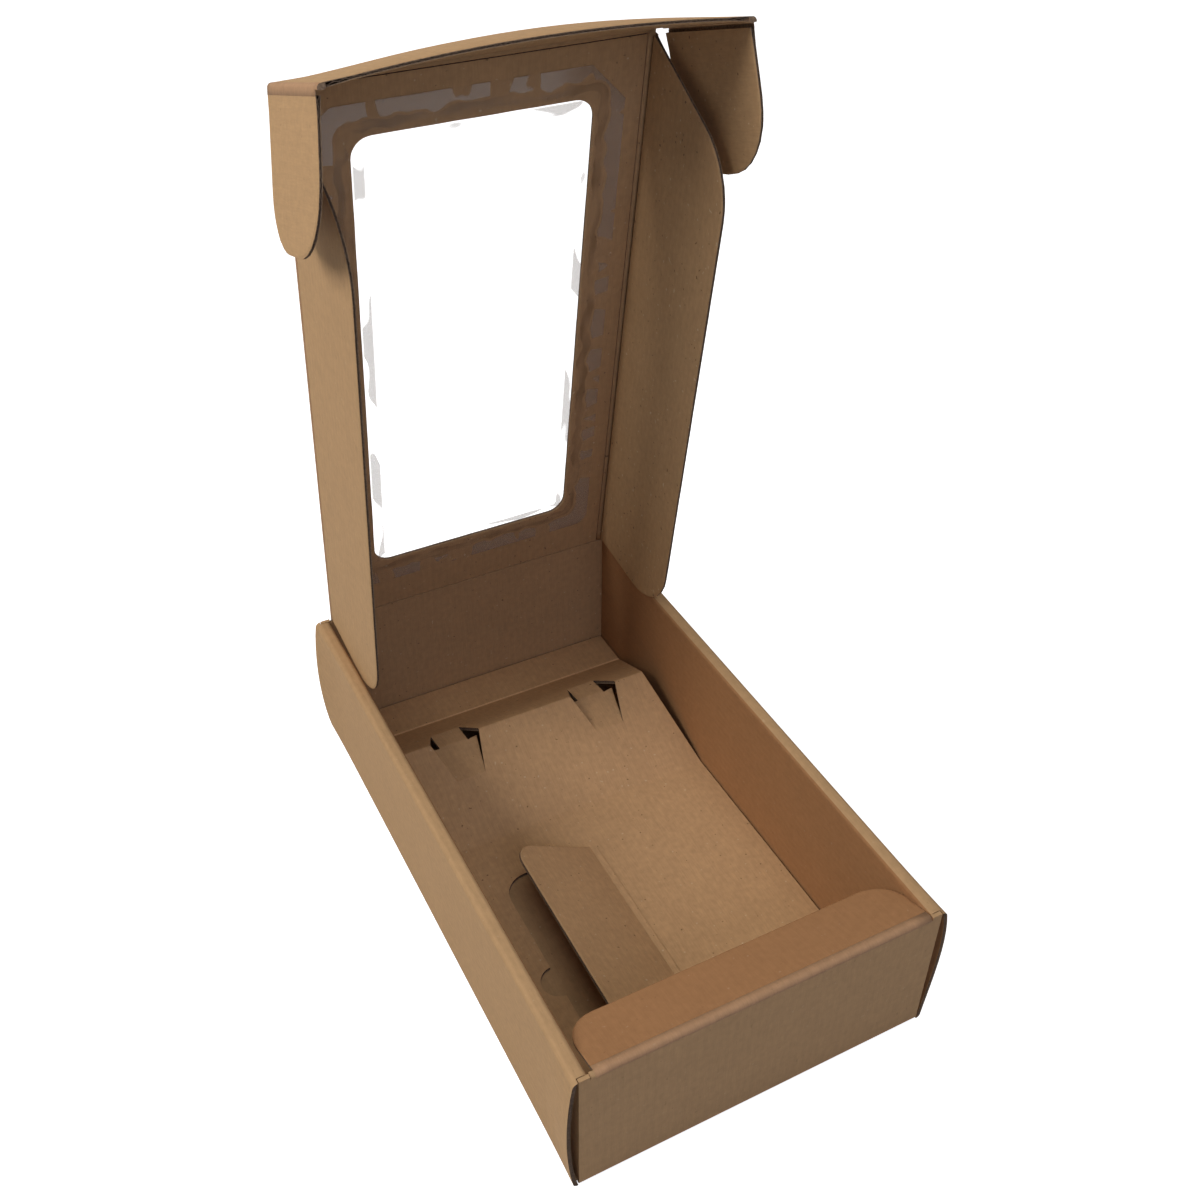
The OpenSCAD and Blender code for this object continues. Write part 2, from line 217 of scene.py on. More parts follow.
def liner_paper(name, base, flecks, mottle, washboard_shade):
    """Machine-made kraft liner: matt, faintly mottled, with fibres and flecks lying in the sheet, and faint
    painted shade of the washboard between the flutes.
    """
    made, tree = new_material(name)
    flat = add_node(tree, "ShaderNodeUVMap", uv_map="board").outputs["UV"]
    solid = add_node(tree, "ShaderNodeTexCoord").outputs["Object"]
    # Cloudy formation of the sheet, about 14 mm across, and its finer mottle of 2.6 mm
    cloud = add_node(tree, "ShaderNodeTexNoise", {"Vector": solid, "Scale": per(14), "Detail": 2.0})
    mottled = add_node(tree, "ShaderNodeTexNoise", {"Vector": solid, "Scale": per(2.6), "Detail": 3.0})
    # Fibres lie along the machine direction: 6 mm long and 0.6 mm wide
    stretched = add_node(tree, "ShaderNodeMapping", {"Vector": flat, "Scale": (per(0.6), per(6), 1)})
    fibre = add_node(tree, "ShaderNodeTexNoise", {
        "Vector": stretched.outputs["Vector"], "Scale": 1.0, "Detail": 2.0})
    # Liner sinks a little between the flutes, 3.3 mm apart; the shade of these hollows is painted as faint
    # light and dark stripes
    lines = add_node(tree, "ShaderNodeMapping", {"Vector": flat, "Scale": (per(3.3), 0, 0)})
    wave = add_node(tree, "ShaderNodeTexWave", {"Vector": lines.outputs["Vector"], "Scale": math.tau / 20,
                                                "Distortion": 0.0}, wave_profile="SIN")
    # Flecks of bark and bleached fibre, under 1 mm across and a few centimetres apart
    spots = add_node(tree, "ShaderNodeTexNoise", {"Vector": solid, "Scale": per(1.5), "Detail": 0.0})
    light_spot = add_node(tree, "ShaderNodeMapRange", {
        "Value": spots.outputs["Fac"], "From Min": 0.80, "From Max": 0.86, "To Max": flecks * 0.6})
    dark_spot = add_node(tree, "ShaderNodeMapRange", {
        "Value": spots.outputs["Fac"], "From Min": 0.19, "From Max": 0.14, "To Max": flecks})
    tone = add_node(tree, "ShaderNodeMix", {"Factor": cloud.outputs["Fac"], "A": shade(base, 1 - mottle),
                                            "B": shade(base, 1 + mottle)}, data_type="RGBA")
    parts = [
        (mottled.outputs["Fac"], 0.55, 1.45, mottle * 1.2),
        (fibre.outputs["Fac"], 0.6, 1.4, mottle),
        (wave.outputs["Fac"], 0.9, 1.1, washboard_shade),
    ]
    colour_out = tone.outputs["Result"]
    for source, low, high, strength in parts:
        spread = add_node(tree, "ShaderNodeMapRange", {"Value": source, "From Min": 0.25, "From Max": 0.75,
                                                       "To Min": 1 - strength, "To Max": 1 + strength})
        colour_out = add_node(tree, "ShaderNodeVectorMath", {
            0: colour_out, "Scale": spread.outputs["Result"]}, operation="SCALE").outputs["Vector"]
    fleck = shade(bpy.context.scene.box_colours.fleck, 1)
    for spot, spot_colour in ((light_spot, fleck), (dark_spot, shade(base, 0.35))):
        colour_out = add_node(tree, "ShaderNodeMix", {
            "Factor": spot.outputs["Result"], "A": colour_out, "B": spot_colour},
            data_type="RGBA").outputs["Result"]
    grain = add_node(tree, "ShaderNodeTexNoise", {"Vector": solid, "Scale": per(0.7), "Detail": 2.0})
    height = add_node(tree, "ShaderNodeMath", {
        0: grain.outputs["Fac"], 1: fibre.outputs["Fac"]}, operation="ADD")
    bump = add_node(tree, "ShaderNodeBump", {"Height": height.outputs["Value"], "Strength": 0.35,
                                             "Distance": 0.08 * MM})
    paper = add_node(tree, "ShaderNodeBsdfPrincipled", {
        "Base Color": colour_out, "Roughness": 0.82, "Specular IOR Level": 0.25,
        "Normal": bump.outputs["Normal"]})
    add_node(tree, "ShaderNodeOutputMaterial", {"Surface": paper.outputs["BSDF"]})
    return made


def torn_fibres(name, base, contrast):
    """Paper fibres torn and crushed by the cutting rule: rough, dusty and uneven in tone."""
    made, tree = new_material(name)
    solid = add_node(tree, "ShaderNodeTexCoord").outputs["Object"]
    tufts = add_node(tree, "ShaderNodeTexNoise", {
        "Vector": solid, "Scale": per(0.9), "Detail": 4.0, "Roughness": 0.7})
    tone = add_node(tree, "ShaderNodeMapRange", {
        "Value": tufts.outputs["Fac"], "From Min": 0.3, "From Max": 0.7})
    mixed = add_node(tree, "ShaderNodeMix", {"Factor": tone.outputs["Result"], "A": shade(base, 1 - contrast),
                                             "B": shade(base, 1 + contrast)}, data_type="RGBA")
    bump = add_node(tree, "ShaderNodeBump", {
        "Height": tufts.outputs["Fac"], "Strength": 0.8, "Distance": 0.2 * MM})
    paper = add_node(tree, "ShaderNodeBsdfPrincipled", {
        "Base Color": mixed.outputs["Result"], "Roughness": 0.95, "Specular IOR Level": 0.1,
        "Normal": bump.outputs["Normal"]})
    add_node(tree, "ShaderNodeOutputMaterial", {"Surface": paper.outputs["BSDF"]})
    return made


def band_across(tree, out, first, last):
    """One between two distances from the window's edge, in millimetres, and zero beyond them."""
    begin = add_node(tree, "ShaderNodeMapRange", {"Value": out, "From Min": (first - 0.3) * MM,
                                                  "From Max": (first + 0.3) * MM})
    end = add_node(tree, "ShaderNodeMapRange", {"Value": out, "From Min": (last + 0.3) * MM,
                                                "From Max": (last - 0.3) * MM})
    return add_node(tree, "ShaderNodeMath", {0: begin.outputs["Result"], 1: end.outputs["Result"]},
                    operation="MULTIPLY").outputs["Value"]


def film_patches(tree, flat, across, out, edge):
    """Soft-cornered patches in the film, so many millimetres across and out from the window."""
    spread = add_node(tree, "ShaderNodeMapping", {"Vector": flat, "Scale": (per(across), per(out), 1)})
    ripples = add_node(tree, "ShaderNodeTexNoise", {
        "Vector": spread.outputs["Vector"], "Scale": 1.0, "Detail": 1.0, "Roughness": 0.3})
    return add_node(tree, "ShaderNodeMapRange", {"Value": ripples.outputs["Fac"], "From Min": edge[0],
                                                 "From Max": edge[1]}).outputs["Result"]


def clear_film(name, base):
    """Thin PET window film: clear and glossy, with pale patches of painted reflection where it ripples off the
    board.
    """
    made, tree = new_material(name)
    flat = add_node(tree, "ShaderNodeUVMap", uv_map="board").outputs["UV"]
    # The first number of the map runs round the window and the second out from its edge, both in metres
    out = add_node(tree, "ShaderNodeSeparateXYZ", {"Vector": flat}).outputs["Y"]
    # Borders of the patches on the board wander by up to 2 mm
    wander = film_patches(tree, flat, 9, 9, (0.2, 0.8))
    moved = add_node(tree, "ShaderNodeMath", {0: wander, 1: 4 * MM, 2: out}, operation="MULTIPLY_ADD")
    rough = add_node(tree, "ShaderNodeMath", {0: moved.outputs["Value"], 1: 2 * MM}, operation="SUBTRACT")
    # Painted reflections where the film lifts off the board: teeth 9 mm wide that reach in from its edge, 7 to
    # 15 mm out
    teeth = film_patches(tree, flat, 9, 22, (0.43, 0.45))
    lifted = band_across(tree, rough.outputs["Value"], 7.0, 14.5)
    # Painted reflections where it sags inside the window: flat patches 34 mm long within 5 mm of the edge
    sags = film_patches(tree, flat, 34, 13, (0.55, 0.57))
    sagging = band_across(tree, out, -4.6, -0.4)
    # Glue runs round the window about 2 to 6 mm out, and looks wet and dark through the film
    smears = film_patches(tree, flat, 18, 4, (0.30, 0.62))
    track = band_across(tree, rough.outputs["Value"], 2.2, 6.0)
    glue = add_node(tree, "ShaderNodeMath", {0: smears, 1: track}, operation="MULTIPLY").outputs["Value"]
    lift_glare = add_node(tree, "ShaderNodeMath", {0: teeth, 1: lifted}, operation="MULTIPLY")
    sag_glare = add_node(tree, "ShaderNodeMath", {0: sags, 1: sagging}, operation="MULTIPLY")
    # Pale patches of painted reflection from either band
    pale = add_node(tree, "ShaderNodeMath", {0: lift_glare.outputs["Value"], 1: sag_glare.outputs["Value"]},
                    operation="MAXIMUM")
    glare_alpha = add_node(tree, "ShaderNodeMapRange", {
        "Value": pale.outputs["Value"], "To Min": 0.02, "To Max": 0.34})
    wet_alpha = add_node(tree, "ShaderNodeMapRange", {"Value": glue, "To Max": 0.13})
    alpha = add_node(tree, "ShaderNodeMath", {0: glare_alpha.outputs["Result"], 1: wet_alpha.outputs["Result"]},
                     operation="MAXIMUM")
    wet = shade(bpy.context.scene.box_colours.glue, 1)
    tint = add_node(tree, "ShaderNodeMix", {"Factor": glue, "A": shade(base, 1), "B": wet}, data_type="RGBA")
    sheet = add_node(tree, "ShaderNodeBsdfPrincipled", {
        "Base Color": tint.outputs["Result"], "Roughness": 0.16, "IOR": 1.57,
        "Alpha": alpha.outputs["Value"]})
    add_node(tree, "ShaderNodeOutputMaterial", {"Surface": sheet.outputs["BSDF"]})
    return made


def box_materials():
    """The finishes of the box, made once and shared by its pieces."""
    if "kraft liner outside" not in bpy.data.materials:
        colours = bpy.context.scene.box_colours
        liner_paper("kraft liner outside", colours.outside, 0.25, 0.05, 0.012)
        liner_paper("kraft liner inside", colours.inside, 0.8, 0.06, 0.012)
        liner_paper("kraft liner of the insert", colours.insert, 0.8, 0.07, 0.012)
        liner_paper("kraft liner painted highlight", colours.pressed, 0.3, 0.08, 0.0)
        liner_paper("kraft liner turned in, partly painted shade", colours.turned, 0.2, 0.05, 0.012)
        liner_paper("kraft liner rubbed", colours.rubbed, 0.2, 0.07, 0.0)
        torn_fibres("fluted medium", colours.medium, 0.3)
        torn_fibres("cut board edge", colours.cut, 0.4)
        clear_film("clear PET film", colours.film)
    names = ("kraft liner outside", "kraft liner inside", "cut board edge", "fluted medium",
             "kraft liner turned in, partly painted shade", "kraft liner rubbed", "kraft liner of the insert", "kraft liner painted highlight")
    return [bpy.data.materials[name] for name in names]


OUTSIDE, INSIDE, CUT, MEDIUM, TURNED_TONE_AND_SHADE, RUBBED, INSERT, BEAD_HIGHLIGHT = range(8)

# Mesh helpers


def finish_piece(bm, name, body, replaced=None):
    """Turn a bmesh in place into a finished piece that rides on a body, if it is given one."""
    mesh = bpy.data.meshes.new(name)
    bm.to_mesh(mesh)
    bm.free()
    piece = bpy.data.objects.new(name, mesh)
    bpy.context.scene.collection.objects.link(piece)
    for material in box_materials():
        mesh.materials.append(material)
    if body:
        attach(piece, body)
    if replaced:
        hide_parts(replaced)
    return piece


def crease_place(node, joint):
    """Place of a panel: X along its crease, Y away over the panel, Z out through the board."""
    origin = Vector(joint["pos_m"])
    mesh = frame["nodes"][node].data
    out = max(mesh.polygons, key=lambda face: face.area).normal.normalized()
    heights = [(vertex.co - origin).dot(out) for vertex in mesh.vertices]
    if abs(min(heights)) > abs(max(heights)):
        out = -out
    along = Vector(joint["axis"]).normalized()
    away = out.cross(along)
    reach = sum((vertex.co - origin).dot(away) for vertex in mesh.vertices)
    if reach < 0:
        away = -away
    place = Matrix((away.cross(out), away, out)).transposed().to_4x4()
    place.translation = origin
    return place


def outward(node, joint):
    """Direction out through a panel's board, away from the inside of the box."""
    return crease_place(node, joint).to_3x3() @ Vector((0, 0, 1))


def merged_copy(node):
    """A copy of a CAD node with its loose triangles joined into flat faces."""
    bm = bmesh.new()
    bm.from_mesh(frame["nodes"][node].data)
    bmesh.ops.remove_doubles(bm, verts=bm.verts, dist=NEAR)
    bmesh.ops.dissolve_limit(bm, angle_limit=math.radians(0.5), verts=bm.verts, edges=bm.edges,
                             use_dissolve_boundaries=False)
    return bm


def flat_face(node, place, height):
    """The flat side of a panel that lies at a height over its crease, as a sheet without thickness."""
    bm = merged_copy(node)
    bm.transform(place.inverted())
    others = [f for f in bm.faces if any(abs(v.co.z - height) > NEAR for v in f.verts)]
    bmesh.ops.delete(bm, geom=others, context="FACES")
    for vertex in bm.verts:
        vertex.co.z = 0
    return bm


def cut_across(bm, axis, step):
    """Cut a sheet by planes one step apart along an axis, so that it can be shaped."""
    normal = Vector([float(axis == i) for i in range(3)])
    places = [v.co[axis] for v in bm.verts]
    first = math.floor(min(places) / step) + 1
    ahead = bm.verts[:] + bm.edges[:] + bm.faces[:]
    for count in range(first, math.ceil(max(places) / step)):
        at = count * step
        cut = bmesh.ops.bisect_plane(bm, geom=ahead, dist=NEAR / 10, plane_co=normal * at, plane_no=normal)
        ahead = [g for g in cut["geom"]
                 if max(v.co[axis] for v in (g.verts if hasattr(g, "verts") else [g])) > at + NEAR]


def thicken(bm, depth):
    """Give a sheet its thickness along Z and turn its faces outward."""
    grown = bmesh.ops.extrude_face_region(bm, geom=bm.faces[:])
    moved = [g for g in grown["geom"] if isinstance(g, bmesh.types.BMVert)]
    bmesh.ops.translate(bm, verts=moved, vec=(0, 0, depth))
    bmesh.ops.recalc_face_normals(bm, faces=bm.faces)


def map_flat(bm, across):
    """Write the board map: the first number runs across the flutes and the second along them."""
    layer = bm.loops.layers.uv.new("board")
    for face in bm.faces:
        for loop in face.loops:
            loop[layer].uv = across(loop.vert.co, face.normal)


def at_root(co):
    """Whether a point lies along a panel's crease, where its board isn't cut."""
    return co.y < ROOT


def corrugated_panel(node, joint, flute_axis, shape=None, creased=at_root, faced=None):
    """A flat panel built as its board is: two liners with the fluted medium glued between them."""
    sizes = bpy.context.scene.board_sizes
    place = crease_place(node, joint)
    room = sizes.board - 2 * sizes.liner - sizes.medium
    sheets = [
        (0, 0, sizes.liner, INSIDE),
        (0, sizes.liner, sizes.medium, MEDIUM),
        (sizes.board, sizes.board - sizes.liner, sizes.liner, OUTSIDE),
    ]
    # Torn tufts of fibre along a cut edge
    tuft = 0.9 * MM
    whole = bmesh.new()
    faced = faced or {}
    for height, bottom, depth, material in sheets:
        bm = flat_face(node, place, height)
        bmesh.ops.inset_region(bm, faces=bm.faces[:], thickness=sizes.crushed_w, use_boundary=True,
                               use_even_offset=True)
        wavy = material == MEDIUM
        cut_across(bm, flute_axis, sizes.flute_pitch / 8 if wavy else STEP)
        if shape or not wavy:
            cut_across(bm, 1 - flute_axis, STEP)
        rim = {v for v in bm.verts if v.is_boundary and not creased(v.co)}
        middle = sizes.board / 2 - depth / 2
        for vertex in bm.verts:
            x, y, _ = vertex.co
            rise = bottom
            if wavy:
                turn = math.sin(math.tau * vertex.co[flute_axis] / sizes.flute_pitch)
                rise += room / 2 * (1 + turn)
            if vertex in rim:
                rise += max(-sizes.crushed_d, min(sizes.crushed_d, middle - rise))
                vertex.co.x += noise.noise(Vector((x, y, bottom)) / tuft) * sizes.rough_edge
                vertex.co.y += noise.noise(Vector((y, x, bottom)) / tuft) * sizes.rough_edge
            vertex.co.z = rise
        thicken(bm, depth)
        for face in bm.faces:
            up = face.normal.z if material == OUTSIDE else -face.normal.z
            face.material_index = faced.get(material, material) if wavy or up > 0.5 else CUT
            face.smooth = wavy
        map_flat(bm, lambda co, _: (co[flute_axis], co[1 - flute_axis]))
        layer_mesh = bpy.data.meshes.new("layer")
        bm.to_mesh(layer_mesh)
        bm.free()
        whole.from_mesh(layer_mesh)
        bpy.data.meshes.remove(layer_mesh)
    if shape:
        for vertex in whole.verts:
            vertex.co += shape(vertex.co)
    whole.transform(place)
    return whole


def fold_turn(place, parent_out):
    """Angle from the outer side of a panel's parent to its own, about their crease."""
    lean = place.to_3x3().inverted() @ parent_out
    return math.atan2(-lean.y, lean.z)


def crease_ends(node, place):
    """Where a panel's crease starts and ends along it."""
    bm = flat_face(node, place, bpy.context.scene.board_sizes.board)
    near = min(v.co.y for v in bm.verts)
    along = [v.co.x for v in bm.verts if v.co.y < near + 0.1 * MM]
    bm.free()
    return min(along), max(along)


def fold_paper(node, joint, parent_out, shape=None, longest=1.0, material=RUBBED):
    """The outer liner that runs on over a crease from one panel to the next."""
    sizes = bpy.context.scene.board_sizes
    place = crease_place(node, joint)
    turn = fold_turn(place, parent_out)
    radius = sizes.board + sizes.fold_lift
    first, last = crease_ends(node, place)
    first, last = max(first, -longest), min(last, longest)
    back = Vector((0, -math.cos(turn), -math.sin(turn)))
    bm = bmesh.new()
    # Round a sharp fold the paper runs in an arc, and over a shallow one as a flat strip
    if turn > math.radians(15):
        begin = bm.verts.new((first, -radius * math.sin(turn), radius * math.cos(turn)))
        bmesh.ops.spin(bm, geom=[begin], cent=(0, 0, 0), axis=(1, 0, 0), angle=-turn, steps=10)
        bm.verts.ensure_lookup_table()
        end = bm.verts[-1]
        tail = bm.verts.new(begin.co + back * 0.4 * MM)
        start, stop = begin.co.copy(), end.co.copy()
    else:
        begin = bm.verts.new((first, -radius * math.tan(turn / 2), radius))
        end = begin
        tail = bm.verts.new(begin.co + back * 1.4 * MM)
        start, stop = tail.co.copy(), begin.co + Vector((0, 1.4 * MM, 0))
    tip = bm.verts.new((first, 2.3 * MM, radius))
    bm.edges.new((tail, begin))
    bm.edges.new((end, tip))
    drawn = bmesh.ops.extrude_edge_only(bm, edges=bm.edges[:])
    moved = [g for g in drawn["geom"] if isinstance(g, bmesh.types.BMVert)]
    bmesh.ops.translate(bm, verts=moved, vec=(last - first, 0, 0))
    cut_across(bm, 0, STEP)
    if shape:
        for vertex in bm.verts:
            vertex.co += shape(vertex.co)
    bmesh.ops.solidify(bm, geom=bm.faces[:], thickness=0.04 * MM)
    bmesh.ops.recalc_face_normals(bm, faces=bm.faces)
    for face in bm.faces:
        face.material_index = material
        face.smooth = True
    map_flat(bm, lambda co, _: (co.x, co.y))
    bm.transform(place)
    piece = finish_piece(bm, f"{joint['name']}_fold", None)
    start.x = stop.x = 0
    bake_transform(piece)
    return piece


def crease_bead(name, node, joint, parent_out, first, last, slot, grow=0.7, ridge=INSIDE):
    """The rounded end of a panel's board at a crease, with the low bead that the crease raises inside."""
    sizes = bpy.context.scene.board_sizes
    place = crease_place(node, joint)
    turn = fold_turn(place, parent_out)
    wide, high, board = sizes.bead_w * grow, sizes.bead_h * grow, sizes.board
    around = [math.radians(angle) for angle in range(90, -20, -10)]
    outline = [(-wide, board)] + [(board * math.cos(a), board * math.sin(a)) for a in around]
    outline += [(0.85 * wide, -0.75 * high), (0.5 * wide, -high), (0, -1.03 * high),
                (-0.45 * wide, -0.9 * high), (-0.8 * wide, -0.35 * high), (-wide, 0)]
    bm = bmesh.new()
    section = []
    for u, w in outline:
        section.append(bm.verts.new((first, u * math.cos(turn) - w * math.sin(turn),
                                     u * math.sin(turn) + w * math.cos(turn))))
    cap = bm.faces.new(section)
    grown = bmesh.ops.extrude_face_region(bm, geom=[cap])
    moved = [g for g in grown["geom"] if isinstance(g, bmesh.types.BMVert)]
    bmesh.ops.translate(bm, verts=moved, vec=(last - first, 0, 0))
    bmesh.ops.recalc_face_normals(bm, faces=bm.faces)
    up = Vector((0, -math.sin(turn), math.cos(turn)))
    for face in bm.faces:
        facing = face.normal.dot(up)
        at_end = abs(face.normal.x) > 0.9
        # The ridge takes the given finish; the hinge and divider beads are given the pale one, a painted
        # highlight where the bead catches the light
        face.material_index = CUT if at_end else RUBBED if facing > -0.3 else ridge
        face.smooth = not at_end
    cut_across(bm, 0, STEP)
    map_flat(bm, lambda co, _: (co.y, co.x))
    bm.transform(place)
    return finish_piece(bm, name, joint["parent"])


def round_window(x, y, shapes):
    """Place beside the window: how far round its edge, and how far out from it."""
    half, start, stop = shapes.window_w / 2, shapes.window_from, shapes.window_from + shapes.window_l
    nearest_x = max(-half, min(half, x))
    nearest_y = max(start, min(stop, y))
    out = math.hypot(x - nearest_x, y - nearest_y)
    gaps = {
        "right": half - nearest_x,
        "top": stop - nearest_y,
        "left": nearest_x + half,
        "bottom": nearest_y - start,
    }
    side = min(gaps, key=gaps.get)
    tall = stop - start
    along = {
        "right": nearest_y - start,
        "top": tall + half - nearest_x,
        "left": tall + 2 * half + stop - nearest_y,
        "bottom": 2 * tall + 3 * half + nearest_x,
    }
    return along[side], out if out > 0 else -gaps[side]


def sheet_map(co, normal):
    """Board map of a folded sheet, flutes from front to back: each wall is laid down by its facing."""
    facing = max(range(3), key=lambda i: abs(normal[i]))
    return [(co.z, co.y), (co.x, co.z), (co.x, co.y)][facing]


def is_cut_edge(face, thickness):
    """Whether a flat face is a cut edge of the board, which is no wider than the board is thick."""
    around = sum(edge.calc_length() for edge in face.edges)
    return 2 * face.calc_area() / around < thickness


def hollow_edges(bm, faces):
    """Press cut edges in between the two liners."""
    sizes = bpy.context.scene.board_sizes
    made = bmesh.ops.inset_individual(bm, faces=faces, thickness=sizes.liner, depth=-sizes.groove_d,
                                      use_even_offset=False)
    for face in made["faces"]:
        face.material_index = CUT
    for face in faces:
        face.material_index = MEDIUM


# Pieces


class BOX_OT_tray(bpy.types.Operator):
    """Folded tray: floor, front and back walls and the rolled side walls"""

    bl_idname = "giftbox.tray"
    bl_label = "Tray"

    def execute(self, context):
        sizes = context.scene.board_sizes
        _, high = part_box("tray")
        bm = merged_copy("tray")
        outer_layer = high.x - sizes.board
        for face in bm.faces:
            middle = face.calc_center_median()
            inner_side = abs(face.normal.x) < 0.5 and abs(middle.x) < outer_layer - 4 * MM
            facing_in = middle.dot(Vector((0, face.normal.y, 0))) < 0 or face.normal.z > 0.9
            # Rolled-in faces of the side walls take the turned-in colour, painted darker as shade
            rolled = abs(face.normal.x) > 0.7 and middle.x * face.normal.x < 0
            face.material_index = INSIDE if inner_side and facing_in else TURNED_TONE_AND_SHADE if rolled else OUTSIDE
        ends = [f for f in bm.faces
                if abs(f.normal.y) > 0.9 and abs(f.calc_center_median().x) > outer_layer - NEAR]
        hollow_edges(bm, ends)
        for axis, step in ((2, 6 * MM), (1, STEP)):
            cut_across(bm, axis, step)
        for vertex in bm.verts:
            x, y, z = vertex.co
            if abs(x) > outer_layer - NEAR:
                ramp = max(0.0, min(1.0, 1 - (high.y - abs(y)) / sizes.bow_l))
                height = max(0.0, min(1.0, z / high.z)) ** (1.5 if x > 0 else 1.0)
                belly = math.sin(math.pi * height) ** 0.7
                vertex.co.x += math.copysign(sizes.bow * ramp * ramp * belly, x)
        map_flat(bm, sheet_map)
        finish_piece(bm, "tray_board", "tray", "tray")
        return {"FINISHED"}


class BOX_OT_insert(bpy.types.Operator):
    """Folded insert with its ridge, neck notches and the opening of the divider"""

    bl_idname = "giftbox.insert"
    bl_label = "Insert"

    def execute(self, context):
        sizes = context.scene.board_sizes
        bm = merged_copy("insert")
        for face in bm.faces:
            face.material_index = INSERT if face.normal.z > 0 else OUTSIDE
        cut = [f for f in bm.faces if abs(f.normal.z) < 0.3 and is_cut_edge(f, sizes.board)]
        hollow_edges(bm, cut)
        folds = []
        for edge in bm.edges:
            if len(edge.link_faces) != 2 or abs(edge.verts[0].co.x - edge.verts[1].co.x) < 3 * MM:
                continue
            lying = [abs(f.normal.x) < 0.1 and f.calc_area() > (4 * MM) ** 2 for f in edge.link_faces]
            if all(lying) and math.radians(8) < edge.calc_face_angle() < math.radians(80):
                folds.append(edge)
        rounded = bmesh.ops.bevel(bm, geom=folds, offset=sizes.soft_fold, segments=3, profile=0.5,
                                  affect="EDGES", material=-1)
        # Behind the ridge the crease shows as a pale line, a painted highlight on its rounded faces where a
        # bead would catch the light
        _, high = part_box("insert")
        for face in rounded["faces"]:
            middle = face.calc_center_median()
            if face.normal.z > 0.5 and middle.y > high.y - 30 * MM and middle.z < 10 * MM:
                face.material_index = BEAD_HIGHLIGHT
        map_flat(bm, sheet_map)
        finish_piece(bm, "insert_board", "tray", "insert")
        return {"FINISHED"}


class BOX_OT_lid(bpy.types.Operator):
    """Lid panel with its window"""

    bl_idname = "giftbox.lid"
    bl_label = "Lid"

    def execute(self, context):
        shapes = context.scene.lid_shapes
        around = 6 * MM

        def creased(co):
            by_window = abs(co.x) < shapes.window_w / 2 + around and co.y > shapes.window_from - around
            return not (by_window and co.y < shapes.window_from + shapes.window_l + around)

        hinge = JOINTS["lid_hinge"]
        bm = corrugated_panel("lid_panel", hinge, 0, creased=creased)
        finish_piece(bm, "lid_board", "lid", "lid_panel")
        fold_paper("lid_panel", hinge, Vector((0, 1, 0)))
        width = crease_ends("lid_panel", crease_place("lid_panel", hinge))
        # The hinge bead's ridge is painted pale as a highlight
        crease_bead("hinge_bead", "lid_panel", hinge, Vector((0, 1, 0)), *width, "kraft_tray", ridge=BEAD_HIGHLIGHT)
        place = crease_place("lid_panel", hinge)
        lid_out = place.to_3x3() @ Vector((0, 0, 1))
        half = abs(JOINTS["left_flap_crease"]["pos_m"][0])
        tall = (place.inverted() @ Vector(JOINTS["tuck_crease"]["pos_m"])).y
        crease_bead("lid_top_bead", "tuck_flap", JOINTS["tuck_crease"], lid_out, -half, half, "kraft_lid")
        for side in ("left", "right"):
            node = f"lid_flap_{side}"
            joint = JOINTS[f"{side}_flap_crease"]
            up = (crease_place(node, joint).to_3x3().inverted() @ (place.to_3x3() @ Vector((0, 1, 0)))).x
            ends = sorted((up * BEAD_GAP * MM, up * tall))
            crease_bead(f"lid_{side}_bead", node, joint, lid_out, *ends, "kraft_lid")
        return {"FINISHED"}


class BOX_OT_side_flaps(bpy.types.Operator):
    """Side flaps of the lid"""

    bl_idname = "giftbox.side_flaps"
    bl_label = "Lid side flaps"

    def execute(self, context):
        lid_out = outward("lid_panel", JOINTS["lid_hinge"])
        for side in ("left", "right"):
            node = f"lid_flap_{side}"
            joint = JOINTS[f"{side}_flap_crease"]
            bm = corrugated_panel(node, joint, 1)
            finish_piece(bm, f"{node}_board", f"{side}_flap", node)
            fold_paper(node, joint, lid_out)
        return {"FINISHED"}


class BOX_OT_tuck_flap(bpy.types.Operator):
    """Tuck flap, whose free edge arches up between the ears"""

    bl_idname = "giftbox.tuck_flap"
    bl_label = "Tuck flap"

    def execute(self, context):
        rise = context.scene.lid_shapes.tuck_arch
        half = abs(JOINTS["left_ear_crease"]["pos_m"][0])
        sheet = flat_face("tuck_flap", crease_place("tuck_flap", JOINTS["tuck_crease"]), 0)
        deep = max(v.co.y for v in sheet.verts)
        sheet.free()

        def arch(co):
            across = max(0.0, 1 - (co.x / half) ** 2)
            return Vector((0, 0, rise * across * math.sin(0.75 * math.pi * max(0.0, co.y) / deep)))

        def creased(co):
            return co.y < ROOT or abs(co.x) > half - ROOT

        joint = JOINTS["tuck_crease"]
        bm = corrugated_panel("tuck_flap", joint, 0, arch, creased=creased)
        finish_piece(bm, "tuck_flap_board", "tuck", "tuck_flap")
        lid_out = outward("lid_panel", JOINTS["lid_hinge"])
        lid_half = abs(JOINTS["left_flap_crease"]["pos_m"][0])
        fold_paper("tuck_flap", joint, lid_out, arch, lid_half)
        place = crease_place("tuck_flap", joint)
        out = place.to_3x3() @ Vector((0, 0, 1))
        for side in ("left", "right"):
            node = f"tuck_ear_{side}"
            ear = JOINTS[f"{side}_ear_crease"]
            away = (crease_place(node, ear).to_3x3().inverted() @ (place.to_3x3() @ Vector((0, 1, 0)))).x
            ends = sorted((away * BEAD_GAP * MM, away * deep))
            crease_bead(f"tuck_{side}_bead", node, ear, out, *ends, "kraft_flap")
        return {"FINISHED"}


